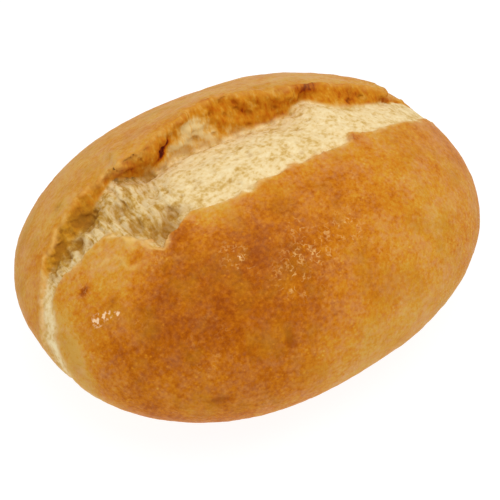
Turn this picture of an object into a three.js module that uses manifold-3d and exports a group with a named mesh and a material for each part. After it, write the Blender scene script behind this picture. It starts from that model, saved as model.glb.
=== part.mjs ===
// A split-top bread roll, baked as one piece: an oval dome with a flat base, slashed along its length.
// In the oven the slash burst open. The front crust ends almost level with the pale crumb, the crumb slopes
// down towards the back, and there the torn back crust stands up as a lip. At both ends the split narrows,
// runs down the end of the roll and closes above the base.
//
// Units are millimetres. X runs along the roll, Y points from the front to the back, and Z points up.
// The origin is on the base, below the middle of the roll.

import * as THREE from "three";
import { mergeVertices } from "three/addons/utils/BufferGeometryUtils.js";
import Module from "manifold-3d";

const wasm = await Module();
wasm.setup();

// ---- Driving dimensions of the dome ----
const HALF_LENGTH = 55; // along X, at the widest level
const HALF_WIDTH = 42.4; // along Y, at the widest level
const HEIGHT = 52; // crown above the base, without the lip
const WAIST = 21.3; // height of the widest level above the base
const UNDERSIDE = 1.16 * WAIST; // how far below the widest level the underside would reach if it weren't flat
const PLAN_POWER = 2.27; // 2 would give an ellipse in plan, and more gives fuller corners
const CROWN_POWER = 1.83; // under 2 gives sloping shoulders above the widest level
const TAPER = -0.03; // share by which the width changes from the middle to the +X end

// ---- The split ----
// A station is the angle round the roll in the XZ plane: 0 at the crown, -90 at the -X end, 90 at the +X end.
const SPLIT_START = -108; // station where the split closes below the -X end
const SPLIT_END = 104; // station where it closes below the +X end
const CRUMB_DEPTH = 4.6; // how far the crumb lies below the dome at the foot of the wall
const FULL_WIDTH = 17; // where the split is narrower than this, it is shallower too
const EDGE_DEPTH = 0.5; // thickness of the front crust where the crumb begins
const LIP_HEIGHT = 2.6; // how far the back lip stands above the dome
const LIP_SPREAD = 9; // how far behind the split the raised crust settles into the dome again
const FOOT_SHARE = 0.82; // share of the split's width, from the front, where the wall's foot lies
const CLEARANCE = 9; // how far the cutting tool reaches outside the dome
const CLOSED = 0.3; // how far outside the dome the cutting tool's floor ends, where the split is closed

// Each row holds a station in degrees and the place in Y of the split's front edge and of its back lip.
const EDGE_STATIONS = [
  [-108, -10.5, -9.5],
  [-95, -8.0, -5.5],
  [-84, -3.5, 1.0],
  [-74, 0.5, 8.0],
  [-62, -3.0, 13.0],
  [-50, -8.5, 14.2],
  [-36, -9.8, 14.6],
  [-8, -10.8, 15.2],
  [18, -10.0, 13.6],
  [46, -7.5, 11.0],
  [70, -2.5, 8.4],
  [90, 2.0, 6.6],
  [104, 4.0, 5.0],
];

// ---- Fineness of the facets ----
const DOME_DETAIL = 17;
const SLASH_STEPS = 60;
const SLASH_ROWS = 6;

const toDegrees = THREE.MathUtils.radToDeg;
const toRadians = THREE.MathUtils.degToRad;
const { clamp, lerp, smoothstep } = THREE.MathUtils;

// The two edges of the split as smooth curves over the stations: x holds the station, y the front, z the lip.
const edgeCurve = new THREE.CatmullRomCurve3(
  EDGE_STATIONS.map(([station, front, back]) => new THREE.Vector3(station, front, back)),
  false,
  "centripetal",
);

// Front edge and back lip of the split, in Y, at a station. The curve's station rises all along, so halving
// finds it.
function splitEdges(station) {
  const wanted = clamp(station, SPLIT_START, SPLIT_END);
  let low = 0;
  let high = 1;
  for (let i = 0; i < 30; i += 1) {
    const middle = (low + high) / 2;
    if (edgeCurve.getPoint(middle).x < wanted) low = middle;
    else high = middle;
  }
  const point = edgeCurve.getPoint((low + high) / 2);
  return { front: point.y, back: point.z };
}

// How much of its full depth the split has at a station: 1 over the crown, less where it is narrow, 0 where
// it closes.
function splitStrength(station) {
  const { front, back } = splitEdges(station);
  const open = smoothstep(station, SPLIT_START, -84) * (1 - smoothstep(station, 80, SPLIT_END));
  return open * Math.min((back - front) / FULL_WIDTH, 1);
}

// How much of its full height the lip has at a station: it settles towards both ends.
function lipStrength(station) {
  return smoothstep(station, -88, -52) * (1 - smoothstep(station, 38, 80));
}

// Distance from the middle of the widest level to the dome's surface, in the direction of a unit vector.
function domeRadius(direction) {
  const x = Math.abs(direction.x) / HALF_LENGTH;
  const y = Math.abs(direction.y) / HALF_WIDTH;
  const plan = (x ** PLAN_POWER + y ** PLAN_POWER) ** (1 / PLAN_POWER);
  if (direction.z >= 0) {
    const rise = direction.z / (HEIGHT - WAIST);
    return (plan ** CROWN_POWER + rise ** CROWN_POWER) ** (-1 / CROWN_POWER);
  }
  return Math.hypot(plan, direction.z / UNDERSIDE) ** -1;
}

// How far the crust behind the split is raised above the plain dome at a point.
function lipRise(point) {
  const station = toDegrees(Math.atan2(point.x, point.z - WAIST));
  const { back } = splitEdges(station);
  const behind = Math.max(point.y - back, 0) / LIP_SPREAD;
  const inFront = smoothstep(point.y, back - 10, back - 3);
  return LIP_HEIGHT * lipStrength(station) * Math.exp(-behind * behind) * inFront;
}

// The dome's point in the direction of a unit vector, with the raised lip.
function domePoint(direction) {
  const point = direction.clone().multiplyScalar(domeRadius(direction));
  point.y *= 1 + (TAPER * point.x) / HALF_LENGTH;
  point.z += WAIST;
  return point.addScaledVector(direction, lipRise(point));
}

// The point at a station and a place in Y that lies outside the plain dome by offset, along the dome's radius.
function pointAt(station, y, offset) {
  const angle = toRadians(station);
  const direction = new THREE.Vector3(Math.sin(angle), 0, Math.cos(angle));
  for (let i = 0; i < 12; i += 1) {
    const radius = domeRadius(direction) + offset;
    const sideways = clamp(y / radius, -0.95, 0.95);
    const inPlane = Math.sqrt(1 - sideways * sideways);
    direction.set(Math.sin(angle) * inPlane, sideways, Math.cos(angle) * inPlane);
  }
  const point = direction.multiplyScalar(domeRadius(direction) + offset);
  return point.add(new THREE.Vector3(0, 0, WAIST));
}

// A three.js geometry as a solid that can be joined and cut.
function solidOf(geometry) {
  const bare = geometry.clone();
  for (const name of Object.keys(bare.attributes)) {
    if (name !== "position") bare.deleteAttribute(name);
  }
  const merged = mergeVertices(bare, 1e-4);
  return new wasm.Manifold(
    new wasm.Mesh({
      numProp: 3,
      vertProperties: new Float32Array(merged.attributes.position.array),
      triVerts: new Uint32Array(merged.index.array),
    }),
  );
}

// A solid back as a three.js geometry.
function geometryOf(solid) {
  const mesh = solid.getMesh();
  const geometry = new THREE.BufferGeometry();
  geometry.setAttribute("position", new THREE.BufferAttribute(mesh.vertProperties, mesh.numProp));
  geometry.setIndex(new THREE.BufferAttribute(mesh.triVerts, 1));
  geometry.computeVertexNormals();
  return geometry;
}

// The whole dome, still closed on top and rounded below.
function domeGeometry() {
  const geometry = new THREE.IcosahedronGeometry(1, DOME_DETAIL);
  const positions = geometry.attributes.position;
  const direction = new THREE.Vector3();
  for (let i = 0; i < positions.count; i += 1) {
    direction.fromBufferAttribute(positions, i).normalize();
    const point = domePoint(direction);
    positions.setXYZ(i, point.x, point.y, point.z);
  }
  return geometry;
}

// The slab under the floor, which cuts the base flat.
function floorGeometry() {
  const slab = new THREE.BoxGeometry(4 * HALF_LENGTH, 4 * HALF_WIDTH, HEIGHT);
  return slab.translate(0, 0, -HEIGHT / 2);
}

// How deep the crumb lies below the dome, as a share of its depth at the wall's foot. across runs from 0 at
// the front edge to 1 at the foot: the crumb stays full, then falls away.
function crumbSlope(across) {
  return 0.25 * across + 0.75 * across ** 2.4;
}

// The space that the burst slash leaves open: a box bent round the roll along the split. Its underside is the
// crumb, its back is the torn wall under the lip, and its top lies outside the dome.
function slashGeometry() {
  const geometry = new THREE.BoxGeometry(1, 1, 1, SLASH_STEPS, SLASH_ROWS, 1);
  const positions = geometry.attributes.position;
  for (let i = 0; i < positions.count; i += 1) {
    const station = lerp(SPLIT_START, SPLIT_END, positions.getX(i) + 0.5);
    const across = positions.getY(i) + 0.5;
    const isTop = positions.getZ(i) > 0;
    const strength = splitStrength(station);
    const { front, back } = splitEdges(station);
    const foot = lerp(front, back, FOOT_SHARE);
    const y = isTop ? lerp(front - 1, back + 2, across) : lerp(front, foot, across);
    const depth = lerp(EDGE_DEPTH, CRUMB_DEPTH, crumbSlope(across));
    const offset = isTop ? CLEARANCE : lerp(CLOSED, -depth, strength);
    const point = pointAt(station, y, offset);
    positions.setXYZ(i, point.x, point.y, point.z);
  }
  return geometry;
}

// The roll as one closed solid.
function breadRoll() {
  const dome = solidOf(domeGeometry());
  const based = dome.subtract(solidOf(floorGeometry()));
  const split = based.subtract(solidOf(slashGeometry()));
  const crust = new THREE.MeshStandardMaterial({ color: 0xc98334, roughness: 0.6, metalness: 0 });
  const mesh = new THREE.Mesh(geometryOf(split), crust);
  mesh.name = "bread_roll";
  return mesh;
}

const part = new THREE.Group();
part.name = "bread_roll_part";
part.add(breadRoll());

export default part;
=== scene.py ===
# %% [markdown]
# # A split-top bread roll
# This lesson builds one oval bread roll, baked as a single piece, with a slash along its top that
# burst open in the oven. The front crust ends almost level with the pale crumb. The crumb slopes
# down towards the back, and there the torn crust stands up as a toasted lip.
#
# The roll is not drawn as a set of patches. It is one formula that tells, for any point, how far
# outside the bread that point lies. Blender's volume library turns the formula into a mesh, and
# the same formula gives the masks that the one material reads, so the shape and the colours
# always agree.

# %% Load the frame and measure it
import itertools
import math

import bmesh
import bpy
import numpy as np
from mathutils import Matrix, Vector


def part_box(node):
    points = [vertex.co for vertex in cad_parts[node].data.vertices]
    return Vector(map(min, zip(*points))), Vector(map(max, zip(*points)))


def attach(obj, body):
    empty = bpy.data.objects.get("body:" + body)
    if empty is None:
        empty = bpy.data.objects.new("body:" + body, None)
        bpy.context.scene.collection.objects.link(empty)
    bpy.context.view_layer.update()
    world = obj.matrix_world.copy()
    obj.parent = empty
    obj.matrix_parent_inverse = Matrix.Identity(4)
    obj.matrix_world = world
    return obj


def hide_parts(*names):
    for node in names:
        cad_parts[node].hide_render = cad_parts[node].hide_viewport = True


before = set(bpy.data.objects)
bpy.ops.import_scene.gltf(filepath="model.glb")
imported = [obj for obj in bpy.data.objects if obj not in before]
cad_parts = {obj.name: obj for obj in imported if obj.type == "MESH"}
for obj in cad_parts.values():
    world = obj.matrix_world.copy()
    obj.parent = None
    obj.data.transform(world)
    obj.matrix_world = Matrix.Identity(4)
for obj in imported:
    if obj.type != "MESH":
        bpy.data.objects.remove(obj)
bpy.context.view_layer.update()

import openvdb
from mathutils import Vector

node_low, node_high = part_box("bread_roll")
print("CAD node from", [round(v, 4) for v in node_low], "to", [round(v, 4) for v in node_high])

# %% [markdown]
# ## Main sizes
# The shape is worked out in millimetres, because bread detail is a fraction of a millimetre to a
# few millimetres. The length, the width and the height come from the frame, less the part of the
# height that only the raised lip reaches. A real roll is a slack skin of dough on a tray: the
# widest level lies below half the height, the shoulders slope, and the outline in plan is fuller
# than an ellipse.

# %% Main sizes in millimetres
MM = 0.001
HALF_LENGTH = (node_high[0] - node_low[0]) / 2 / MM
HALF_WIDTH = (node_high[1] - node_low[1]) / 2 / MM
LIP_OVER_CROWN = 0.5
CROWN = (node_high[2] - node_low[2]) / MM - LIP_OVER_CROWN
WAIST = 0.41 * CROWN
UNDERSIDE = 1.16 * WAIST
PLAN_POWER = 2.27
CROWN_POWER = 1.83
TAPER = -0.03
print(f"roll {2 * HALF_LENGTH:.1f} x {2 * HALF_WIDTH:.1f} x {CROWN:.1f} mm")
print(f"widest {WAIST:.1f} mm above the tray")

# %% [markdown]
# ## Noise
# Bread is never even, so almost every step needs smooth random bumps. This is value noise: random
# numbers on a lattice, blended smoothly between its corners. Numpy does it for a million points
# at once. Each call names the size of its bumps in millimetres and then a seed, which keeps every
# run the same. The seed also turns the lattice, so that no bumps line up with the axes.

# %% Noise helpers
LATTICE = 48


def smoothstep(low, high, value):
    """0 below low, 1 above high, and a smooth ramp in between."""
    t = np.clip((value - low) / (high - low), 0, 1)
    return t * t * (3 - 2 * t)


def mix(first, second, share):
    """The first value where share is 0, and the second where it is 1."""
    return first + (second - first) * share


def turned(points, seed):
    """The points as seen from a lattice that the seed turned and shifted."""
    rng = np.random.default_rng(seed)
    turn, _ = np.linalg.qr(rng.normal(size=(3, 3)))
    return points @ turn + rng.uniform(0, LATTICE, 3)


def noise(points, size, seed):
    """Smooth noise from about -1 to 1 whose bumps are about size across."""
    lattice = np.random.default_rng(seed + 1000).uniform(-1, 1, (LATTICE, LATTICE, LATTICE))
    spot = turned(points / size, seed)
    cell = np.floor(spot).astype(int)
    part = spot - cell
    part = part * part * (3 - 2 * part)
    total = np.zeros(len(points))
    for corner in itertools.product((0, 1), repeat=3):
        share = np.prod(np.where(corner, part, 1 - part), axis=1)
        x, y, z = ((cell + corner) % LATTICE).T
        total += share * lattice[x, y, z]
    return total


def layered(points, size, seed, layers=3):
    """Noise with finer layers on top, each half the size and half as strong."""
    return sum(noise(points, size / 2**i, seed + i) / 2**i for i in range(layers))


def nearest_seed(points, size, seed):
    """Distance to the nearest of scattered seeds that lie about size apart, in units of size."""
    offsets = np.random.default_rng(seed + 2000).uniform(0, 1, (LATTICE, LATTICE, LATTICE, 3))
    spot = turned(points / size, seed)
    cell = np.floor(spot).astype(int)
    nearest = np.full(len(points), np.inf)
    for step in itertools.product((-1, 0, 1), repeat=3):
        here = cell + step
        x, y, z = (here % LATTICE).T
        away = np.linalg.norm(here + offsets[x, y, z] - spot, axis=1)
        nearest = np.minimum(nearest, away)
    return nearest


# %% [markdown]
# ## The dome
# The plain roll is a superellipsoid: a rounded-off box whose powers say how full its corners are.
# For a point, `dome_depth` gives how far outside the dome it lies, measured along the line to the
# middle of the roll. It is negative inside. The station, an angle, tells where along the roll the
# point is: 0 at the crown, -90 at the left end and 90 at the right end.

# %% The dome as a formula


def power_length(first, second, power):
    """The length of two parts taken together: 2 is a plain length, and more gives fuller corners."""
    return (first**power + second**power) ** (1 / power)


def dome_depth(points):
    """How far outside the dome each point lies, negative inside."""
    x, y, z = points.T
    z = z - WAIST
    y = y / (1 + TAPER * x / HALF_LENGTH)
    plan = power_length(np.abs(x) / HALF_LENGTH, np.abs(y) / HALF_WIDTH, PLAN_POWER)
    above = power_length(plan, np.maximum(z, 0) / (CROWN - WAIST), CROWN_POWER)
    below = np.hypot(plan, np.minimum(z, 0) / UNDERSIDE)
    reach = np.where(z >= 0, above, below)
    return np.sqrt(x * x + y * y + z * z) * (1 - 1 / np.maximum(reach, 0.05))


def station_of(points):
    """The angle along the roll, in degrees."""
    return np.degrees(np.arctan2(points[:, 0], points[:, 2] - WAIST))


crown_point = np.array([[0, 0, CROWN]])
print(f"the crown lies {dome_depth(crown_point)[0]:.3f} mm outside the dome")

# %% [markdown]
# ## The plan of the split
# A baker would describe the burst slash by walking along it. Each row is one stop of that walk:
# the station angle, then the place across the roll of the front crust's edge, of the foot of the
# torn wall and of the lip's top, how deep the foot lies under the dome, how high the lip stands
# over it, and how far the front crust's edge curls up. The rows are blended with a soft window,
# so the edges run in smooth curves.

# %% The walk along the split
SPLIT_WALK = [
    # station, front, foot, lip, depth, rise, curl
    (-108, -12.0, -11.2, -10.4, 0.0, 0.0, 0.0),
    (-96, -12.8, -7.4, -7.0, 0.4, 0.0, 0.0),
    (-86, -7.2, -0.2, 0.4, 0.5, 0.1, 0.0),
    (-81, -2.4, 4.4, 5.2, 0.6, 0.2, 0.0),
    (-76, 2.6, 7.0, 8.8, 1.0, 0.5, 0.1),
    (-70, 2.2, 7.6, 11.6, 1.8, 0.9, 0.3),
    (-66, 1.3, 8.6, 13.2, 2.0, 1.1, 0.4),
    (-62, 2.6, 10.2, 14.4, 2.2, 1.2, 0.4),
    (-59, 0.8, 11.4, 14.8, 2.0, 1.2, 0.4),
    (-56, -3.7, 12.4, 15.0, 1.8, 1.2, 0.3),
    (-53, -6.4, 13.2, 14.8, 1.6, 1.2, 0.3),
    (-50, -10.9, 13.4, 14.6, 1.6, 1.4, 0.6),
    (-47, -10.2, 12.8, 14.0, 2.2, 1.8, 1.1),
    (-43, -9.2, 11.2, 13.4, 5.2, 3.2, 1.3),
    (-36, -8.0, 10.8, 13.2, 5.4, 3.0, 0.5),
    (-26, -9.8, 10.2, 13.8, 5.4, 3.2, 0.1),
    (-12, -10.8, 10.0, 15.4, 5.8, 3.4, 0.1),
    (4, -10.2, 9.8, 16.0, 5.8, 3.4, 0.1),
    (18, -10.0, 8.4, 12.6, 4.8, 3.2, 0.1),
    (27, -9.8, 6.8, 11.2, 4.2, 3.0, 0.1),
    (33, -9.6, 6.8, 10.6, 3.2, 2.7, 0.3),
    (36, -9.2, 8.0, 10.6, 2.0, 2.6, 0.9),
    (38, -7.0, 8.2, 10.5, 1.7, 2.5, 0.9),
    (41, -7.2, 7.2, 10.2, 1.7, 2.5, 0.4),
    (44, -8.2, 5.0, 9.4, 1.8, 2.4, 0.3),
    (51, -7.2, 3.4, 8.2, 1.8, 2.2, 0.2),
    (57, -6.2, 3.4, 7.2, 1.7, 2.0, 0.2),
    (63, -4.6, 4.2, 6.8, 1.6, 2.2, 0.2),
    (65.5, -3.9, 4.4, 6.4, 1.5, 2.2, 0.2),
    (67, -3.5, 5.0, 7.0, 1.3, -0.2, 0.2),
    (71.5, -2.2, 6.4, 8.4, 1.1, -0.6, 0.2),
    (78, -0.6, 7.4, 9.4, 0.9, -0.4, 0.2),
    (86, 1.0, 7.6, 9.2, 0.8, 0.0, 0.0),
    (104, 3.2, 4.2, 5.2, 0.0, 0.0, 0.0),
]
WALK_STEP = 0.5
WALK_SOFTENING = 1.5


def softened_walk():
    """The rows of the walk at every half degree, blended with a soft window."""
    rows = np.array(SPLIT_WALK)
    stations = np.arange(rows[0, 0], rows[-1, 0] + WALK_STEP, WALK_STEP)
    window = np.hanning(round(2 * WALK_SOFTENING / WALK_STEP) + 1)
    window /= window.sum()
    margin = len(window) // 2
    columns = [stations]
    for column in rows[:, 1:].T:
        raw = np.pad(np.interp(stations, rows[:, 0], column), margin, mode="edge")
        columns.append(np.convolve(raw, window, mode="valid"))
    return columns


WALK = softened_walk()


def walk_at(station):
    """Front edge, wall foot, lip, depth, rise and curl of the split at a station."""
    return [np.interp(station, WALK[0], column) for column in WALK[1:]]


print(f"split from station {WALK[0][0]:.0f} to {WALK[0][-1]:.0f} degrees")

# %% [markdown]
# ## Air holes
# Dough holds a few large gas bubbles, and where it tore through one, the hole lies open. Each is
# a soft hollow with a place, a spread along each axis and a depth. The space round it is bent by
# noise first, so that no rim is a clean oval.

# %% The open air holes
HOLLOWS = [
    # centre, spread along each axis, depth
    ((-36.5, 10.6, 41.5), (3.2, 2.6, 5.0), 2.2),
    ((-23.0, -4.4, 47.0), (2.4, 1.8, 4.0), 2.6),
    ((-25.8, -7.4, 46.0), (2.0, 2.2, 4.0), 2.4),
    ((-30.8, -1.6, 44.5), (1.7, 2.8, 3.5), 1.7),
    ((-31.8, 5.6, 44.0), (1.6, 2.6, 3.5), 1.6),
    ((-29.4, -6.0, 45.5), (2.6, 1.8, 4.0), 1.8),
    ((-41.5, 6.5, 39.0), (2.0, 1.6, 3.5), 0.9),
    ((-7.0, 11.4, 48.0), (1.8, 1.0, 2.5), 0.9),
    ((-1.0, 11.0, 48.5), (2.4, 1.0, 2.5), 0.9),
]


def blob(points, centre, spread):
    """1 at the centre, falling off over a different distance along each axis."""
    away = (points - np.array(centre)) / np.array(spread)
    return np.exp(-(away**2).sum(axis=1))


def hollowed(points):
    """Depth of the few large air holes that the tear laid open, with uneven rims."""
    bent = points + 1.1 * np.stack([noise(points, 2.4, seed) for seed in (13, 14, 15)], axis=1)
    return sum(depth * blob(bent, centre, spread) for centre, spread, depth in HOLLOWS)


print(len(HOLLOWS), "open air holes")

# %% [markdown]
# ## Ragged edges
# Tears are never straight, so the place across the roll of each edge is shifted by noise, more on
# the wall than along the front. The front crust has one deep bay near the left end, where a flap
# of skin tore off, and there the edge is frayed most.

# %% The ragged edges of the split
BAY_STATION = -54
BAY_REACH = 10
SEAM_STATIONS = (-82, -76)
NARROWEST_CRUMB = 0.3
NARROWEST_WALL = 0.4


def torn_edges(points):
    """How far past each edge of the split the points lie in Y, and the sizes of the split there."""
    ragged = 1.3 * noise(points, 7, 11) + 1.3 * noise(points, 2.4, 12)
    station = station_of(points) + ragged
    front, foot, lip, depth, rise, curl = walk_at(station)
    bay = blob(station[:, None], (BAY_STATION,), (BAY_REACH,))
    frayed = 0.55 + 0.8 * bay
    front = front + (0.6 + 1.2 * bay) * noise(points, 4, 21) + frayed * layered(points, 2.2, 22)
    tear = 1.1 * noise(points, 6, 31) + 0.7 * noise(points, 2.6, 32)
    tear = tear * smoothstep(0, 3, depth)
    foot = foot + tear
    lip = np.maximum(lip + 0.8 * tear + 0.6 * layered(points, 2, 33), foot + NARROWEST_WALL)
    y = points[:, 1]
    return {
        "to_front": y - front,
        "to_foot": y - foot,
        "to_lip": y - lip,
        "along_crumb": np.clip((y - front) / np.maximum(foot - front, NARROWEST_CRUMB), 0, 1),
        "up_wall": np.clip((y - foot) / (lip - foot), 0, 1),
        "share": np.clip((y - front) / (lip - front), 0, 1),
        "depth": depth,
        "rise": rise,
        "curl": curl,
        "bay": bay,
        "seam": 1 - smoothstep(*SEAM_STATIONS, station),
        "frayed": frayed,
    }


first_edges = torn_edges(crown_point)
print(f"the crown lies {first_edges['to_front'][0]:.1f} mm behind the front edge")

# %% [markdown]
# ## The profile across the split
# Walking from front to back, the crust drops by a thin step to the crumb, the crumb stays full
# and then falls away, the torn wall climbs to the lip, and behind the lip the raised crust
# settles back into the dome. Along the foot of the wall runs a broken groove, where the crumb
# pulled away from the crust. In the bay and in the seam the step is drawn out to a soft slope.

# %% Height over the dome
EDGE_STEP = 0.75
CURL_SPREAD = 2.5
LIP_SPREAD = 9.0
GROOVE_WIDTH = 0.9
GROOVE_DEPTH = 0.9


def wall_groove(points, edges):
    """The broken groove at the foot of the wall, from 0 to 1."""
    present = np.clip(0.45 + 0.9 * noise(points, 1.8, 25), 0, 1)
    deep_enough = smoothstep(1, 4, edges["depth"])
    return present * deep_enough * np.exp(-((edges["to_foot"] / GROOVE_WIDTH) ** 2))


def split_height(points, edges):
    """Height of the surface over the plain dome."""
    depth, along_crumb, to_front = edges["depth"], edges["along_crumb"], edges["to_front"]
    step = np.minimum(EDGE_STEP * (1 + 0.8 * noise(points, 4, 23)), depth / 2)
    crumb_level = -mix(step, depth, 0.25 * along_crumb + 0.75 * along_crumb**2.4)
    crumb_level = crumb_level - hollowed(points) - GROOVE_DEPTH * wall_groove(points, edges)
    crust_level = edges["curl"] * np.exp(-np.maximum(-to_front, 0) / CURL_SPREAD)
    slope_width = 0.6 + 1.2 * edges["bay"] + 1.5 * edges["seam"]
    height = mix(crust_level, crumb_level, smoothstep(-0.1, slope_width, to_front))
    climb = mix(edges["up_wall"], smoothstep(0, 1, edges["up_wall"]), 0.6)
    height = mix(height, edges["rise"], climb)
    behind = np.maximum(edges["to_lip"], 0)
    return height * np.exp(-((behind / LIP_SPREAD) ** 2))


crown_height = split_height(crown_point, first_edges)[0]
print(f"at the crown the crumb lies {-crown_height:.2f} mm below the plain dome")

# %% [markdown]
# ## Which part is crumb and which is wall
# The material has to know where the crust ends. Cutting the colours along the same edges as the
# shape keeps them together, and a little extra noise makes the skin bleed into the crumb, as a
# thin burnt skin does. At the left end the split narrows to a seam, where a pale strip fades into
# the crust on both sides.

# %% Masks of the split


def split_masks(points, edges):
    """How far each point lies in the open split, on the crumb and on the torn wall, from 0 to 1."""
    bay, seam = edges["bay"], edges["seam"]
    opened = smoothstep(0.05, 0.45, edges["depth"])
    bleed = edges["frayed"] * noise(points, 1.3, 24)
    softness = 1 + 0.9 * bay + 1.6 * seam
    past_front = smoothstep(-0.5, 1.1, (edges["to_front"] + bleed) / softness)
    on_wall = smoothstep(0, 0.3, edges["up_wall"])
    seam_back = 1 - smoothstep(-2.5, 2.0, edges["to_lip"] + bleed)
    behind_lip = smoothstep(0.2, 0.9, edges["to_lip"])
    return {
        "opened": opened,
        "crumb": opened * past_front * mix(1 - on_wall, seam_back, seam),
        "wall": opened * on_wall * (1 - behind_lip) * (1 - seam),
    }


first_masks = split_masks(crown_point, first_edges)
print(f"crumb share at the crown {first_masks['crumb'][0]:.2f}")

# %% [markdown]
# ## The whole roll as one field
# The bread is everything where the field is below zero: the dome, plus the split's profile, plus
# slow lumps from shaping the dough by hand, cut off by the tray. The cut uses a rounded maximum,
# because dough meets a tray in a small radius and not in a sharp corner.

# %% The field
TRAY_ROUNDING = 2.0


def rounded_max(first, second, radius):
    """The larger of two fields, with the crease between them rounded off."""
    gap = np.maximum(radius - np.abs(first - second), 0) / radius
    return np.maximum(first, second) + gap * gap * radius / 4


def hand_lumps(points):
    """Slow bumps that shaping by hand leaves, and the flatter shoulder at the back left."""
    flat_shoulder = 0.8 * blob(points, (-38, 22, 36), (14, 14, 14))
    return 0.45 * noise(points, 26, 41) + 0.16 * noise(points, 9, 42) - flat_shoulder


def bread_field(points):
    """Below zero inside the bread, above zero outside, in millimetres near the surface."""
    height = split_height(points, torn_edges(points))
    body = dome_depth(points) - height - hand_lumps(points)
    return rounded_max(body, -points[:, 2], TRAY_ROUNDING)


print(f"field at the crown {bread_field(crown_point)[0]:.2f} mm")

# %% [markdown]
# ## From field to mesh
# The field is sampled on a grid and handed to OpenVDB, the volume library inside Blender, which
# wraps it in quads. Only a shell of samples near the dome needs the full formula, and the rest is
# far inside or far outside. The grid's corner comes from the frame's box with a margin.

# %% Polygonise
VOXEL = 0.74
MARGIN = 4.0
LIP_ROOM = np.array([0, 0, 1.5])
SHELL_OUT = 5.0
SHELL_IN = -8.5


def sampled_field():
    """The grid's low corner and the field at its points."""
    low = np.array([-HALF_LENGTH, -HALF_WIDTH, 0]) - MARGIN
    high = np.array([HALF_LENGTH, HALF_WIDTH, CROWN]) + MARGIN + LIP_ROOM
    axes = [np.arange(a, b, VOXEL) for a, b in zip(low, high)]
    grid = np.stack(np.meshgrid(*axes, indexing="ij"), axis=-1)
    points = grid.reshape(-1, 3)
    depth = dome_depth(points)
    values = np.clip(np.maximum(depth, -points[:, 2]), SHELL_IN, SHELL_OUT)
    shell = (depth > SHELL_IN) & (depth < SHELL_OUT)
    shell &= points[:, 2] > -MARGIN / 2
    values[shell] = bread_field(points[shell])
    return low, values.reshape(grid.shape[:3])


def polygonised():
    """Points and quads of the field's zero surface."""
    low, values = sampled_field()
    volume = openvdb.FloatGrid(background=SHELL_OUT)
    volume.copyFromArray(values.astype(np.float32))
    points, quads = volume.convertToQuads(0.0)
    return points * VOXEL + low, quads


coarse_points, coarse_quads = polygonised()
print(f"polygonised into {len(coarse_quads)} quads")

# %% [markdown]
# ## Finer where it tore
# The smooth crust is well served by this grid, but the crumb and the torn wall are full of small
# holes. Only the faces in the split are subdivided, so the detail goes where it is seen. The new
# points then slide down the field's slope until they lie on its zero surface, which gives crisper
# edges than the grid alone can hold.

# %% Subdivide the split and settle on the field
FRONT_ROOM = 2.0
BACK_ROOM = 1.5
BAY_ROOM = 4.5
SHALLOWEST = 0.4
SETTLE_STEPS = 3
PROBE = 0.05
LONGEST_STEP = 0.4


def in_split(points):
    """Which points lie in the split or close to its edges, with extra room below the bay."""
    station = station_of(points)
    front, _, lip, depth, _, _ = walk_at(station)
    y = points[:, 1]
    below_bay = BAY_ROOM * smoothstep(-78, -72, station) * (1 - smoothstep(-50, -44, station))
    across_it = (y > front - FRONT_ROOM - below_bay) & (y < lip + BACK_ROOM)
    return across_it & (depth > SHALLOWEST) & (points[:, 2] > WAIST / 2)


def refined(points, quads):
    """The mesh as a bmesh, with every edge in the split cut in two."""
    mesh = bpy.data.meshes.new("coarse")
    mesh.from_pydata(points.tolist(), [], quads.tolist())
    sheet = bmesh.new()
    sheet.from_mesh(mesh)
    bpy.data.meshes.remove(mesh)
    inside = in_split(points)
    sheet.verts.ensure_lookup_table()
    edges = [edge for edge in sheet.edges if all(inside[vert.index] for vert in edge.verts)]
    bmesh.ops.subdivide_edges(sheet, edges=edges, cuts=1, use_grid_fill=True)
    return sheet


def slope(points, value):
    """How the field rises along each axis."""
    rise = [bread_field(points + PROBE * np.eye(3)[axis]) - value for axis in range(3)]
    return np.stack(rise, axis=1) / PROBE


def settled(points):
    """The points moved onto the field's zero surface, and the outward direction there."""
    for _ in range(SETTLE_STEPS):
        value = bread_field(points)
        gradient = slope(points, value)
        steep = np.maximum((gradient**2).sum(axis=1), 0.5)
        step = np.clip(value / steep, -LONGEST_STEP, LONGEST_STEP)
        points = points - step[:, None] * gradient
    outward = gradient / np.linalg.norm(gradient, axis=1, keepdims=True)
    return points, outward


sheet = refined(coarse_points, coarse_quads)
raw_points = np.array([vert.co[:] for vert in sheet.verts])
surface, outward = settled(raw_points)
print(f"refined to {len(sheet.verts)} points, {len(sheet.faces)} faces")

# %% [markdown]
# ## Relief: wrinkles, pores and tears
# Small relief moves each point along its outward direction. The crust has faint wrinkles, and
# folds of slack skin below the torn left end. The crumb is uneven, with round pores. Where it
# tore most, it was pulled into strands that run across the split and sway a little, and beside
# them the open sponge shows as holes with thin walls. The torn wall is knobbly. `relief` also
# returns how hollow each place is, and the material paints shade there.

# %% Kinds of relief
STRAND_STRETCH = np.array([1.0, 0.2, 1.0])
WRINKLE_HEIGHT = 0.10
GRAIN_HEIGHT = 0.07
FOLD_HEIGHT = 0.28
WIDE_GROOVE = 0.42
FINE_GROOVE = 0.20
LARGE_HOLE = 0.6
SMALL_HOLE = 0.5
KNOB_HEIGHT = 0.55
WALL_PIT = 0.8
CRUMB_PORE = 0.40


def pits(points, size, seed, share):
    """Bowls of random width: 1 in the middle of a pit, 0 on the land between them."""
    nearest = nearest_seed(points, size, seed)
    radius = 0.30 + 0.22 * noise(points, size * 1.5, seed + 7)
    present = smoothstep(1 - 2 * share, 1.2 - 2 * share, noise(points, size * 2.2, seed + 8))
    return present * np.clip(1 - (nearest / np.maximum(radius, 0.05)) ** 2, 0, 1)


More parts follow.
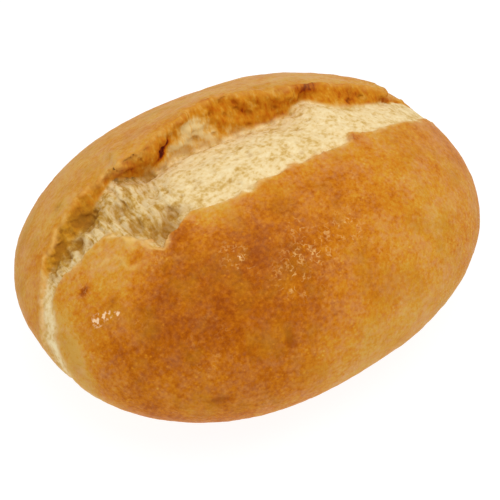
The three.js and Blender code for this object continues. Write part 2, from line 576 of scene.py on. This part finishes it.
def lines(points, size, seed, width):
    """Thin winding lines where the noise passes through zero: 1 on a line."""
    return 1 - smoothstep(0, width, np.abs(noise(points, size, seed)))


def torn_share(points):
    """How much the crumb was pulled into strands: fully at the torn left, not at all at the right."""
    station = station_of(points)
    right_side = smoothstep(-47, -34, station + 5 * noise(points, 8, 66))
    return smoothstep(-81, -75, station) * (1 - right_side)


def sponge_share(points, across):
    """Where the torn left end shows open sponge: behind the pale strip, in front of the lip."""
    share = across["share"] + 0.10 * noise(points, 4, 67)
    station = station_of(points)
    along = smoothstep(-79, -75, station) * (1 - smoothstep(-61, -55, station))
    behind_strip = smoothstep(0.30, 0.52, share)
    before_lip = 1 - smoothstep(0.88, 1.0, share)
    return across["opened"] * along * behind_strip * before_lip


def skin_folds(points):
    """Thin folds in the slack skin below the torn left end."""
    return lines(points, 3.4, 97, 0.24) * blob(points, (-37, -4.5, 43.0), (7, 5.5, 6))


def crust_relief(points):
    """Faint wrinkles, grain and folds of the skin, in millimetres."""
    wrinkles = WRINKLE_HEIGHT * (1 - np.abs(layered(points, 3.4, 51))) ** 2
    return wrinkles + GRAIN_HEIGHT * noise(points, 1.7, 52) + FOLD_HEIGHT * skin_folds(points)


def strand_grooves(points):
    """Grooves between the pulled strands, which run across the split and sway a little."""
    sway = np.stack([noise(points, 5, seed) for seed in (73, 74, 75)], axis=1)
    combed = (points + sway) * STRAND_STRETCH
    wide = WIDE_GROOVE * lines(combed, 1.7, 63, 0.5)
    fine = FINE_GROOVE * lines(combed, 0.9, 68, 0.6)
    return torn_share(points) * (wide + fine)


def sponge_holes(points):
    """Holes of two sizes that leave a web of thin walls."""
    large = smoothstep(-0.1, 0.7, -layered(points, 2.2, 69, 2))
    small = smoothstep(0, 0.6, -noise(points, 1.0, 70))
    return LARGE_HOLE * large + SMALL_HOLE * small


def wall_knobs(points):
    """Knobs and pits of the torn wall."""
    return KNOB_HEIGHT * layered(points, 2.6, 71) - WALL_PIT * pits(points, 2.6, 72, 0.55)


def relief(points, across, sponge):
    """Outward move at each point, and how much shade to paint there for its hollows."""
    crumb, wall = across["crumb"], across["wall"]
    inside = np.clip(crumb + wall, 0, 1)
    uneven = 0.26 * noise(points, 4.5, 64) + 0.16 * noise(points, 1.8, 65)
    pores = CRUMB_PORE * pits(points, 2.4, 61, 0.6)
    grooves = strand_grooves(points)
    knobs = wall_knobs(points) * (1 - sponge)
    holes = sponge * sponge_holes(points)
    move = (1 - inside) * crust_relief(points) + wall * knobs - holes
    move += crumb * (uneven - pores - grooves * (1 - sponge))
    # painted shade: pores, strand grooves, wall pits, sponge holes, air holes and the groove at the
    # wall's foot are darkened
    hollow = crumb * (pores + 0.6 * grooves) + wall * np.maximum(-knobs, 0) + holes
    hollow += inside * (0.40 * hollowed(points) + 0.6 * wall_groove(points, across))
    return move, np.clip(hollow, 0, 1)


print("strands run across the split, stretched", 1 / STRAND_STRETCH[1], "times")

# %% [markdown]
# ## Apply the relief and make the mesh
# The relief is added to the settled points, and nothing may sink below the tray. The points then
# go back into the subdivided sheet, in metres, and its faces are turned to point out.

# %% Move the points and make the mesh
edges = torn_edges(surface)
across = {**edges, **split_masks(surface, edges)}
sponge = sponge_share(surface, across)
move, hollow = relief(surface, across, sponge)
final_points = surface + move[:, None] * outward
print(f"relief from {move.min():.2f} to {move.max():.2f} mm")

final_points[:, 2] = np.maximum(final_points[:, 2], 0)
piece_mesh = bpy.data.meshes.new("baked_roll")
for vert, place in zip(sheet.verts, final_points * MM):
    vert.co = place
bmesh.ops.recalc_face_normals(sheet, faces=sheet.faces)
sheet.to_mesh(piece_mesh)
sheet.free()
piece_mesh.shade_smooth()
roll = bpy.data.objects.new("baked_roll", piece_mesh)
bpy.context.scene.collection.objects.link(roll)
print(f"mesh has {sum(len(p.vertices) - 2 for p in piece_mesh.polygons)} triangles")

# %% [markdown]
# ## How brown each place is
# Colour on bread is a map of heat and thickness. The crust is darkest on the shoulder that faced
# the hot air, golden near the split where the skin stretched late, and pale low on the sides and
# near the left end. The torn wall is toasted most along its top. Two spots are painted shade
# instead: the lower front rim is darker where the underside gets less light, and so is one open
# air hole at the foot of the wall. These slow changes are worked out for each point of the mesh
# and stored with it, and the material adds the fine mottling.

# %% How brown the crust and the wall are
USUAL_BROWNING = 0.44
PALEST = 0.08
BROWNING_AND_SHADE_SPOTS = [
    # centre, spread along each axis, change
    ((-30, -26, 34), (34, 17, 18), 0.45),
    # painted shade: the lower front rim, where the underside gets less light, is darker
    ((-26, -40, 24), (26, 9, 12), 0.08),
    ((-8, -20, 46), (24, 9, 8), 0.20),
    ((-48, 12, 33), (12, 12, 14), 0.20),
    ((30, -26, 38), (16, 14, 14), -0.15),
    ((14, -42, 18), (30, 14, 12), -0.32),
    ((-55, -9, 22), (8, 9, 14), -0.45),
    ((-40, -5.5, 41), (9, 8, 9), -0.44),
    ((-18, -10, 48.8), (5, 3.4, 4), -0.28),
    ((-42, 16.5, 37), (6, 2.6, 6), -0.38),
    ((-24.2, -10.0, 47.2), (4.4, 3.0, 4), 0.44),
    ((20.6, -8.6, 48.5), (2.6, 1.2, 3), 0.50),
    ((-46.1, -4.7, 36.3), (1.3, 1.0, 3), 0.90),
    ((-43.2, -11.5, 37.6), (1.2, 1.2, 3), 0.30),
    ((-35.1, -8.5, 43.1), (1.2, 1.6, 3), 0.30),
    ((-15.3, -37.6, 32.7), (0.6, 1.4, 2.2), 0.60),
    ((20, 36, 24), (28, 12, 13), 0.24),
    ((-26, 34, 22), (18, 12, 10), 0.18),
    ((-32.7, -36.6, 23.2), (2.4, 1.8, 0.7), 0.55),
]
TOAST_AND_SHADE_SPOTS = [
    # centre, spread along each axis, change
    ((-15.6, 12.6, 47.2), (1.3, 1.4, 1.2), 0.90),
    ((-14.0, 13.6, 48.8), (1.3, 1.2, 1.0), 0.70),
    ((22.2, 10.0, 49.8), (2.4, 1.4, 1.4), 0.34),
    ((6.5, 14.4, 50.5), (3.0, 1.2, 1.0), 0.34),
    # painted shade: darker in the open air hole at the foot of the wall
    ((-36.0, 10.6, 41.0), (3.0, 2.6, 5.0), 0.30),
]


def spotted(points, spots):
    """The sum of soft spots, each with its own change in the middle."""
    return sum(change * blob(points, centre, spread) for centre, spread, change in spots)


def browning(points, across):
    """How dark the crust is, from 0 for pale tan to 1 for deep caramel."""
    before_edge = np.maximum(-across["to_front"], 0)
    brown = USUAL_BROWNING + spotted(points, BROWNING_AND_SHADE_SPOTS) + 0.12 * layered(points, 16, 81)
    brown -= 0.06 * smoothstep(12, 26, points[:, 1])
    brown -= 0.20 * np.exp(-before_edge / 1.4)
    brown -= 0.50 * across["seam"] * np.exp(-((across["to_front"] / 5) ** 2))
    brown -= 0.35 * skin_folds(points)
    return np.clip(brown, PALEST, 1)


def toasting(points, across):
    """How toasted the torn wall is, from 0 for crumb colour to 1 for dark brown, with painted shade
    in one air hole.
    """
    station = station_of(points)
    up_wall = across["up_wall"] + 0.22 * noise(points, 3, 92)
    pale_foot = 0.62 * blob(station[:, None], (-16,), (16,))
    toast = 0.50 * smoothstep(pale_foot - 0.1, pale_foot + 0.3, up_wall)
    toast += 0.16 * layered(points, 5, 91)
    left_end = 1 - smoothstep(-58, -46, station + 3 * noise(points, 4, 93))
    amber = 0.36 * smoothstep(0.55, 0.75, across["share"]) * smoothstep(-80, -74, station)
    toast = mix(toast, 0.06 + amber, left_end)
    return np.clip(toast + spotted(points, TOAST_AND_SHADE_SPOTS), 0, 1)


brown = browning(surface, across)
print(f"crust browning from {brown.min():.2f} to {brown.max():.2f}, mean {brown.mean():.2f}")

# %% [markdown]
# ## Painted highlights on the rims, and storing the masks
# The thin edges of the tear and the folds of skin catch the light, so a painted highlight runs
# along them, lighter than the crust round them. It is brightest at the torn left end. Every mask
# becomes an attribute of the mesh's points. Plain numbers are used and not colours, because a mask
# isn't seen by itself.

# %% Store the masks on the mesh
RIM_HIGHLIGHT_WIDTH = 0.55


def rim_highlights(points, across):
    """The painted highlight along both edges of the tear and on the folds, from 0 to 1."""
    station = station_of(points)
    left_end = 1 - smoothstep(-50, -38, station)
    front_rim_highlight = np.exp(-((across["to_front"] / RIM_HIGHLIGHT_WIDTH) ** 2)) * mix(0.45, 1.0, left_end)
    lip_rim_highlight = np.exp(-((across["to_lip"] / RIM_HIGHLIGHT_WIDTH) ** 2)) * mix(0.35, 0.7, left_end)
    broken = mix(0.4, 1.0, smoothstep(-0.5, 0.5, noise(points, 2.4, 95)))
    broken = broken * smoothstep(-80, -74, station) * across["opened"]
    return np.maximum(front_rim_highlight, lip_rim_highlight) * broken + 0.5 * skin_folds(points)


def store(name, values):
    """Keeps one number for each point of the mesh, for the material to read."""
    layer = piece_mesh.attributes.new(name, "FLOAT", "POINT")
    layer.data.foreach_set("value", values.astype(np.float32))


store("crumb", across["crumb"])
store("wall", across["wall"])
# painted shade for the hollows
store("hollow", hollow)
store("torn", torn_share(surface))
store("sponge", sponge)
# painted highlight along the rims and folds
store("rim", rim_highlights(surface, across))
store("browning", brown)
store("toast", toasting(surface, across))
print("stored", [a.name for a in piece_mesh.attributes if a.data_type == "FLOAT"])

# %% [markdown]
# ## Writing shader maths as expressions
# A material is a network of nodes, and its maths is easier to read as a formula. `Signal` wraps
# the output of a node. Adding, subtracting, multiplying or dividing one adds the Math node for it.
# Every other kind of node comes from the one method `node`, which takes the node's type, its
# settings and the values or signals of its sockets.

# %% The Signal class


class Signal:
    """The output of a shader node, with operators that add Math nodes."""

    def __init__(self, socket):
        self.socket = socket

    def node(self, kind, settings=None, inputs=None, output=0):
        """Adds a node to the same material and returns one of its outputs."""
        made = self.socket.id_data.nodes.new(kind)
        for name, value in (settings or {}).items():
            if name == "stops":
                fill_ramp(made.color_ramp, value)
            else:
                setattr(made, name, value)
        for name, value in (inputs or {}).items():
            plug(made.inputs[name], value)
        return Signal(made.outputs[output])

    def math(self, operation, first, second=0.0, clamp=False):
        settings = {"operation": operation, "use_clamp": clamp}
        return self.node("ShaderNodeMath", settings, {0: first, 1: second})

    def __add__(self, other):
        return self.math("ADD", self, other)

    def __radd__(self, other):
        return self.math("ADD", other, self)

    def __sub__(self, other):
        return self.math("SUBTRACT", self, other)

    def __rsub__(self, other):
        return self.math("SUBTRACT", other, self)

    def __mul__(self, other):
        return self.math("MULTIPLY", self, other)

    def __rmul__(self, other):
        return self.math("MULTIPLY", other, self)

    def __truediv__(self, other):
        return self.math("DIVIDE", self, other)

    def clamped(self):
        """The same signal, held between 0 and 1."""
        return self.math("ADD", self, 0.0, clamp=True)


def plug(socket, value):
    """Gives a socket a signal to follow, or a plain value to keep."""
    if isinstance(value, Signal):
        socket.id_data.links.new(value.socket, socket)
    else:
        socket.default_value = value


def fill_ramp(ramp, stops):
    """Sets a colour ramp to the given list of position and colour."""
    while len(ramp.elements) < len(stops):
        ramp.elements.new(1.0)
    for element, (position, colour) in zip(ramp.elements, stops):
        element.position = position
        element.color = colour


def srgb(red, green, blue):
    """A colour given as on a screen, 0 to 255, as the linear light that a shader works with."""
    def linear(part):
        part = part / 255
        return part / 12.92 if part <= 0.04045 else ((part + 0.055) / 1.055) ** 2.4
    return (linear(red), linear(green), linear(blue), 1.0)


print("mid grey as linear light:", round(srgb(128, 128, 128)[0], 3))

# %% [markdown]
# ## Colours of bread
# Browning moves along one path, so the colours are ramps: the crust runs from pale tan over gold
# to caramel, the torn wall from cream over amber to nearly black, and the crumb from the tan of
# the shade painted in its hollows to cream. Single tints are mixed in on top: painted shade for
# hollows, then sponge, fibres, painted highlights on the rims, dry dust, ochre patches, and
# painted highlights on the glaze's crackle and its glints.

# %% Colours
CRUST_RAMP = [
    (0.0, srgb(214, 164, 74)),
    (0.22, srgb(212, 147, 42)),
    (0.5, srgb(203, 121, 16)),
    (0.75, srgb(181, 96, 0)),
    (1.0, srgb(156, 74, 0)),
]
WALL_RAMP = [
    (0.0, srgb(228, 196, 134)),
    (0.18, srgb(220, 168, 84)),
    (0.42, srgb(208, 136, 28)),
    (0.7, srgb(190, 100, 6)),
    (0.85, srgb(150, 56, 8)),
    (1.0, srgb(84, 22, 14)),
]
CRUMB_RAMP = [
    (0.0, srgb(186, 138, 56)),
    (0.35, srgb(217, 180, 108)),
    (0.6, srgb(236, 208, 152)),
    (1.0, srgb(246, 226, 178)),
]
# painted shade, mixed into hollows, pores and the sponge's holes
HOLLOW_SHADE_TINT = srgb(162, 108, 28)
SPONGE_TINT = srgb(192, 144, 36)
FIBRE_TINT = srgb(186, 140, 44)
# painted highlight for the rims and folds
RIM_HIGHLIGHT_TINT = srgb(240, 196, 116)
DRY_TINT = srgb(217, 164, 116)
OCHRE_TINT = srgb(190, 130, 26)
# painted highlight on the glaze's crackle
GLAZE_HIGHLIGHT_TINT = srgb(234, 180, 108)
# painted glint
GLINT_TINT = srgb(248, 208, 162)
# where the glaze's crackle gets painted highlights
GLAZE_HIGHLIGHT_PATCHES = [
    # centre in mm, reach in mm
    ((7.2, -26.2, 43.9), 6.0),
    ((-2.0, -27.8, 43.2), 6.5),
    ((-9.5, -30.0, 41.2), 6.0),
    ((-18.2, -21.4, 45.2), 4.5),
    ((-3.4, -21.5, 46.8), 3.0),
]
# places of painted glints: centre in mm, reach in mm
GLINT_SPOTS = [
    ((-47.4, -11.6, 33.9), 1.7),
    ((-45.5, -12.7, 35.4), 1.4),
    ((-43.8, -14.4, 36.3), 1.0),
    ((-17.4, -21.8, 45.2), 0.6),
]

print(len(CRUST_RAMP) + len(WALL_RAMP) + len(CRUMB_RAMP), "stops in three ramps")

# %% [markdown]
# ## Patterns for the finest detail
# What is finer than the mesh comes from patterns in the material: noise for clouds and grain,
# thin lines where a noise passes through zero for the painted highlights on the glaze's crackle,
# and scattered dots for flecks and for the painted shade of pores. All of them read the place on
# the object, so they stay on the bread.

# %% Pattern helpers


def stored(place, name):
    """A mask that is stored on the mesh."""
    return place.node("ShaderNodeAttribute", {"attribute_name": name}, output="Fac")


def mottle(place, per_metre, detail=3.0):
    """Noise around 0, from about -0.5 to 0.5, with that many bumps to the metre."""
    inputs = {"Vector": place, "Scale": per_metre, "Detail": detail, "Roughness": 0.6}
    return place.node("ShaderNodeTexNoise", None, inputs) - 0.5


def squiggles(place, per_metre, width):
    """Thin wandering lines where the noise passes through 0: 1 on a line."""
    distance = place.math("ABSOLUTE", mottle(place, per_metre, 2.0))
    return (1 - distance / width).clamped()


def dots(place, per_metre, size):
    """Scattered dots: 1 in the middle of a dot."""
    nearest = place.node("ShaderNodeTexVoronoi", None, {"Vector": place, "Scale": per_metre})
    return (1 - nearest / size).clamped()


def near(place, centre, reach):
    """1 at a place given in mm, and 0 beyond its reach, with an uneven border."""
    inputs = {0: place, 1: Vector(centre) * MM}
    away = place.node("ShaderNodeVectorMath", {"operation": "DISTANCE"}, inputs, "Value")
    border = 1.2 * mottle(place, 1.5 / (reach * MM), 2.0)
    return (1 - (away / (reach * MM) + border)).clamped()


def scaled(place, along_x, along_y, along_z):
    """The place, squeezed or stretched along each axis, which stretches a pattern the other way."""
    inputs = {0: place, 1: (along_x, along_y, along_z)}
    return place.node("ShaderNodeVectorMath", {"operation": "MULTIPLY"}, inputs)


def swayed(place, per_metre, reach):
    """The place, shifted by up to half the reach by slow noise, so that straight lines bend."""
    noise_inputs = {"Vector": place, "Scale": per_metre, "Detail": 0.0}
    bend = place.node("ShaderNodeTexNoise", None, noise_inputs, "Color")
    inputs = {0: bend, 1: (reach, reach, reach), 2: place}
    return place.node("ShaderNodeVectorMath", {"operation": "MULTIPLY_ADD"}, inputs)


def colour_mix(place, share, first, second):
    """The first colour where share is 0, and the second where it is 1."""
    inputs = {"Factor": share, 6: first, 7: second}
    return place.node("ShaderNodeMix", {"data_type": "RGBA"}, inputs, output=2)


def ramp(place, position, stops):
    """The colour at a position along a list of stops."""
    return place.node("ShaderNodeValToRGB", {"stops": stops}, {"Fac": position})


print("patterns are given in bumps to the metre; 1000 makes bumps of about a millimetre")

# %% [markdown]
# ## Crust
# Real crust is never one brown. Slow clouds, blotches and grain of a millimetre are added to the
# stored browning before the ramp turns it into a colour. Where the crust is pale, it is also dry
# and a little dusty, and some patches lean towards ochre. Where steam left a glaze, its crackle
# catches the light: thin pale lines of painted highlight run over the brown, with a few painted
# glints.

# %% The crust's colour


def glaze_highlight_lines(place):
    """Painted highlights on thin crackle lines, thick in the glazed patches and rare elsewhere."""
    elsewhere = (1.2 * mottle(place, 140, 1.0)).clamped()
    glazed = sum((near(place, *patch) for patch in GLAZE_HIGHLIGHT_PATCHES), elsewhere).clamped()
    broken = (0.4 + 5 * mottle(place, 700, 1.0)).clamped()
    return 1.1 * squiggles(place, 520, 0.045) * broken * glazed


def painted_glints(place):
    """A few painted glints on hardened glaze, broken into grains."""
    grains = (0.1 + 8 * mottle(place, 1300, 1.0)).clamped()
    return 2.2 * sum((near(place, *glint) for glint in GLINT_SPOTS), 0.0) * grains


def crust_colour(place):
    brown = stored(place, "browning")
    clouds = 0.45 * mottle(place, 100, 2.0) + 0.70 * mottle(place, 330, 4.0)
    grain = 0.80 * mottle(place, 1200, 2.0)
    flecks = dots(place, 950, 0.36) * (4 * mottle(place, 260, 1.0)).clamped()
    colour = ramp(place, brown + clouds + grain - 0.5 * flecks, CRUST_RAMP)
    dry = (0.12 + 1.6 * mottle(place, 170, 4.0) + 1.5 * mottle(place, 800, 2.0)).clamped()
    colour = colour_mix(place, dry * (1 - brown).clamped(), colour, DRY_TINT)
    colour = colour_mix(place, (2.0 * mottle(place, 120)).clamped(), colour, OCHRE_TINT)
    # painted highlights on the glaze's crackle
    colour = colour_mix(place, glaze_highlight_lines(place).clamped(), colour, GLAZE_HIGHLIGHT_TINT)
    # painted glints
    return colour_mix(place, painted_glints(place).clamped(), colour, GLINT_TINT)


print(len(GLAZE_HIGHLIGHT_PATCHES), "glazed patches and", len(GLINT_SPOTS), "specks")

# %% [markdown]
# ## Crumb, torn wall and sponge
# The crumb is cream, with soft pores and hollows that get painted tan shade. Where it was pulled,
# it is darker, and fine fibres run across the split: a noise that is stretched by squeezing its Y.
# The torn wall browns with height, its streaks run up it, and its pits get painted shade. The open
# sponge at the left end is a web of light walls over holes that are painted dark as shade.

# %% The inside's colours
FIBRE_SQUEEZE = 0.16
FIBRE_SHADE = 0.18


def crumb_colour(place):
    hollow = stored(place, "hollow")
    fibres = scaled(swayed(place, 160, 0.003), 1.0, FIBRE_SQUEEZE, 1.0)
    tone = 0.62 + mottle(place, 300, 2.0) + 1.4 * mottle(place, 950)
    # painted shade: darker dots for pores, and darker hollows
    tone = tone - 0.26 * dots(place, 620, 0.42) - 0.2 * hollow
    torn = stored(place, "torn")
    tone = tone + torn * (2.4 * mottle(fibres, 1300, 2.0) - 0.04)
    colour = colour_mix(place, FIBRE_SHADE * torn, ramp(place, tone, CRUMB_RAMP), FIBRE_TINT)
    # painted shade in the hollows
    return colour_mix(place, (0.8 * hollow).clamped(), colour, HOLLOW_SHADE_TINT)


def wall_colour(place):
    hollow = stored(place, "hollow")
    streaks = 0.8 * mottle(scaled(place, 1.0, 0.4, 0.4), 1200, 2.0)
    # painted shade: the wall's pits are darker
    tone = stored(place, "toast") + 0.6 * mottle(place, 420) + streaks + 0.15 * hollow
    colour = ramp(place, tone, WALL_RAMP)
    return colour_mix(place, (0.35 * hollow).clamped(), colour, HOLLOW_SHADE_TINT)


def with_sponge(place, colour):
    """The colour with the web of the open sponge laid over it, its holes painted dark as shade."""
    # painted shade: the sponge's holes are dark
    web = (0.9 * stored(place, "hollow") + 2.8 * mottle(place, 1400)).clamped()
    thin_walls = colour_mix(place, 0.5, colour, SPONGE_TINT)
    sponge_colour = colour_mix(place, web, thin_walls, HOLLOW_SHADE_TINT)
    return colour_mix(place, 0.8 * stored(place, "sponge"), colour, sponge_colour)


print("fibres are drawn out", round(1 / FIBRE_SQUEEZE), "times across the split")

# %% [markdown]
# ## The baked bread material
# One material covers the roll, because crust and crumb are one substance that only browned
# differently. The stored masks mix the three colours. Crust is satin and crumb is dull, and a
# faint bump adds the grain that is too fine for the mesh.

# %% Build the material
CRUST_ROUGHNESS = 0.52
CRUMB_ROUGHNESS = 0.82
SHEEN_LEVEL = 0.07
RIM_HIGHLIGHT_SHARE = 0.75
BUMP_STRENGTH = 0.6
BUMP_HEIGHT = 0.4 * MM


def grain_bump(place, inside):
    """A Bump node's normal: fine grain on the crust, coarser grain inside the split."""
    skin = 0.8 * mottle(place, 900) + 0.5 * mottle(place, 2400, 1.0)
    height = (1 - inside) * skin + inside * 0.7 * mottle(place, 1500)
    inputs = {"Strength": BUMP_STRENGTH, "Distance": BUMP_HEIGHT, "Height": height}
    return place.node("ShaderNodeBump", None, inputs)


def baked_bread():
    """The one material of the roll."""
    material = bpy.data.materials.new("baked_bread")
    material.use_nodes = True
    tree = material.node_tree
    shader = tree.nodes["Principled BSDF"].inputs
    place = Signal(tree.nodes.new("ShaderNodeTexCoord").outputs["Object"])
    crumb, wall = stored(place, "crumb"), stored(place, "wall")
    colour = colour_mix(place, crumb, crust_colour(place), crumb_colour(place))
    colour = colour_mix(place, wall, colour, wall_colour(place))
    colour = with_sponge(place, colour)
    # painted highlight along the rims
    colour = colour_mix(place, RIM_HIGHLIGHT_SHARE * stored(place, "rim"), colour, RIM_HIGHLIGHT_TINT)
    inside = (crumb + wall).clamped()
    dullness = CRUST_ROUGHNESS + (CRUMB_ROUGHNESS - CRUST_ROUGHNESS) * inside
    plug(shader["Base Color"], colour)
    plug(shader["Roughness"], dullness + 0.25 * mottle(place, 380, 2.0))
    plug(shader["Normal"], grain_bump(place, inside))
    shader["Specular IOR Level"].default_value = SHEEN_LEVEL
    return material


piece_mesh.materials.append(baked_bread())
print("material has", len(piece_mesh.materials[0].node_tree.nodes), "nodes")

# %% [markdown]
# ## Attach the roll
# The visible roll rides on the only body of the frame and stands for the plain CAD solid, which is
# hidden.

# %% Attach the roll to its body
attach(roll, "root")
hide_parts("bread_roll")
print(roll.name, "stands for bread_roll and rides on root")

# %% [markdown]
# ## Floor
# The roll stands on a pale sheet, as in a small studio. The sheet glows a little by itself, so it
# stays white in the picture and fills the shadow under the roll, as a lit table does.

# %% Lay the floor
FLOOR_HALF = 1.5
FLOOR_GREY = 0.18
FLOOR_GLOW = 0.90
PAPER_ROUGHNESS = 0.9


def plain_floor():
    """A flat square sheet of paper that glows a little."""
    turns = [(-1, -1), (1, -1), (1, 1), (-1, 1)]
    corners = [(x * FLOOR_HALF, y * FLOOR_HALF, 0) for x, y in turns]
    mesh = bpy.data.meshes.new("floor")
    mesh.from_pydata(corners, [], [(0, 1, 2, 3)])
    paper = bpy.data.materials.new("paper")
    paper.use_nodes = True
    sockets = paper.node_tree.nodes["Principled BSDF"].inputs
    sockets["Base Color"].default_value = (FLOOR_GREY, FLOOR_GREY, FLOOR_GREY, 1)
    sockets["Roughness"].default_value = PAPER_ROUGHNESS
    sockets["Emission Color"].default_value = (1, 1, 1, 1)
    sockets["Emission Strength"].default_value = FLOOR_GLOW
    mesh.materials.append(paper)
    return bpy.data.objects.new("floor", mesh)


floor = plain_floor()
bpy.context.scene.collection.objects.link(floor)
print(f"floor is {2 * FLOOR_HALF} m square")

# %% [markdown]
# ## Light
# Soft light from all around shows the true colour of the crust. One large lamp, above and a
# little in front, gives the rest: it lights the torn wall under the lip, and the sides fall off
# gently. The plain "Standard" view keeps the browns as saturated as they are in the colour ramps.

# %% Set the light
SKY_STRENGTH = 0.60
LAMP_PLACE = Vector((0.05, -0.10, 0.70))
LAMP_WATTS = 2.6
LAMP_SIZE = 0.6

world = bpy.data.worlds.new("studio")
world.use_nodes = True
sky = world.node_tree.nodes["Background"].inputs
sky["Color"].default_value = (1, 1, 1, 1)
sky["Strength"].default_value = SKY_STRENGTH
bpy.context.scene.world = world

lamp_data = bpy.data.lights.new("lamp", "AREA")
lamp_data.energy = LAMP_WATTS
lamp_data.size = LAMP_SIZE
lamp = bpy.data.objects.new("lamp", lamp_data)
lamp.location = LAMP_PLACE
lamp.rotation_euler = LAMP_PLACE.to_track_quat("Z", "Y").to_euler()
bpy.context.scene.collection.objects.link(lamp)
bpy.context.scene.view_settings.view_transform = "Standard"
print(f"lamp of {LAMP_WATTS} W, {LAMP_PLACE.length:.2f} m away")

# %% [markdown]
# ## Camera
# The camera stands to the left of the front and looks down at 46 degrees. A long lens from half a
# metre away keeps the shape almost free of perspective, as in a product shot.

# %% Place the camera
AZIMUTH = math.radians(-33.8)
ELEVATION = math.radians(46)
DISTANCE = 0.52
AIM_HEIGHT = 0.025
AIM_RIGHT = -0.00025
AIM_UP = -0.0046
LENS_MM = 165.7

level = math.cos(ELEVATION)
back = Vector((math.sin(AZIMUTH) * level, -math.cos(AZIMUTH) * level, math.sin(ELEVATION)))
right = Vector((math.cos(AZIMUTH), math.sin(AZIMUTH), 0))
up = back.cross(right)
aim = Vector((0, 0, AIM_HEIGHT)) + AIM_RIGHT * right + AIM_UP * up

camera_data = bpy.data.cameras.new("camera")
camera_data.sensor_width = 36
camera_data.lens = LENS_MM
camera_data.clip_start = 0.01
camera = bpy.data.objects.new("camera", camera_data)
camera.location = aim + DISTANCE * back
camera.rotation_euler = back.to_track_quat("Z", "Y").to_euler()
bpy.context.scene.collection.objects.link(camera)
bpy.context.scene.camera = camera
print("camera at", [round(v, 3) for v in camera.location])
